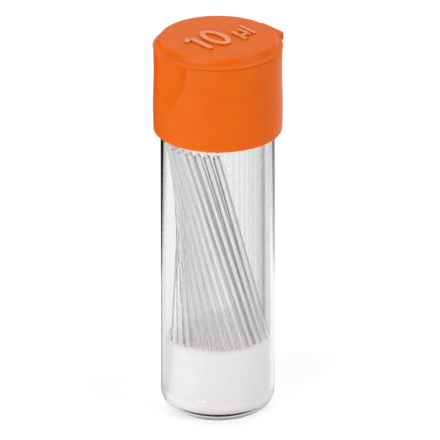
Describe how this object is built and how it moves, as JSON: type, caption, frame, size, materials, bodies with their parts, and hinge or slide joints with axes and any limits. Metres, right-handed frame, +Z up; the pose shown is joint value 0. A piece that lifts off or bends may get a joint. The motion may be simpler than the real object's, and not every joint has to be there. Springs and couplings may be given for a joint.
{
  "type": "capped vial of glass capillary tubes",
  "caption": "Round glass vial holding a loose sheaf of fine glass capillary tubes on a foam plug, closed by a push-on plastic cap with a strap-hinged flip lid.",
  "frame": {"origin": "centre of the vial's flat base, on the surface it stands on", "axes": "+Z up along the vial's axis, -Y towards the front view, +X to its right; the lid's strap is at the right and back, its thumb notch at the left and front"},
  "size_m": [0.0192, 0.019, 0.0586],
  "materials": {
    "vial_glass": "clear polished",
    "tube_glass": "clear drawn",
    "foam": "matt soft foam",
    "orange_plastic": "translucent moulded, satin"
  },
  "bodies": {
    "vial": {"vial": "vial_glass", "foam_plug": "foam", "capillary_01": "tube_glass", "capillary_02": "tube_glass", "capillary_03": "tube_glass", "capillary_04": "tube_glass", "capillary_05": "tube_glass", "capillary_06": "tube_glass", "capillary_07": "tube_glass", "capillary_08": "tube_glass", "capillary_09": "tube_glass", "capillary_10": "tube_glass", "capillary_11": "tube_glass", "capillary_12": "tube_glass", "capillary_13": "tube_glass", "capillary_14": "tube_glass", "capillary_15": "tube_glass", "capillary_16": "tube_glass", "capillary_17": "tube_glass", "capillary_18": "tube_glass", "capillary_19": "tube_glass", "capillary_20": "tube_glass", "capillary_21": "tube_glass", "capillary_22": "tube_glass", "capillary_23": "tube_glass", "capillary_24": "tube_glass", "capillary_25": "tube_glass", "capillary_26": "tube_glass", "capillary_27": "tube_glass", "capillary_28": "tube_glass", "capillary_29": "tube_glass", "capillary_30": "tube_glass", "capillary_31": "tube_glass", "capillary_32": "tube_glass", "capillary_33": "tube_glass", "capillary_34": "tube_glass", "capillary_35": "tube_glass", "capillary_36": "tube_glass", "capillary_37": "tube_glass", "capillary_38": "tube_glass", "capillary_39": "tube_glass", "capillary_40": "tube_glass", "capillary_41": "tube_glass", "capillary_42": "tube_glass", "capillary_43": "tube_glass", "capillary_44": "tube_glass", "capillary_45": "tube_glass", "capillary_46": "tube_glass", "capillary_47": "tube_glass", "capillary_48": "tube_glass", "capillary_49": "tube_glass", "capillary_50": "tube_glass"},
    "cap": {"cap": "orange_plastic"},
    "lid": {"lid": "orange_plastic"}
  },
  "joints": [
    {"name": "cap_lift", "type": "slide", "parent": "vial", "child": "cap", "axis": [0, 0, 1], "range_m": [0, 0.02]},
    {"name": "lid_hinge", "type": "hinge", "parent": "cap", "child": "lid", "pos_m": [0.00807, 0.00653, 0.05714], "axis": [-0.6293, 0.7771, 0], "range_deg": [0, 165]}
  ]
}
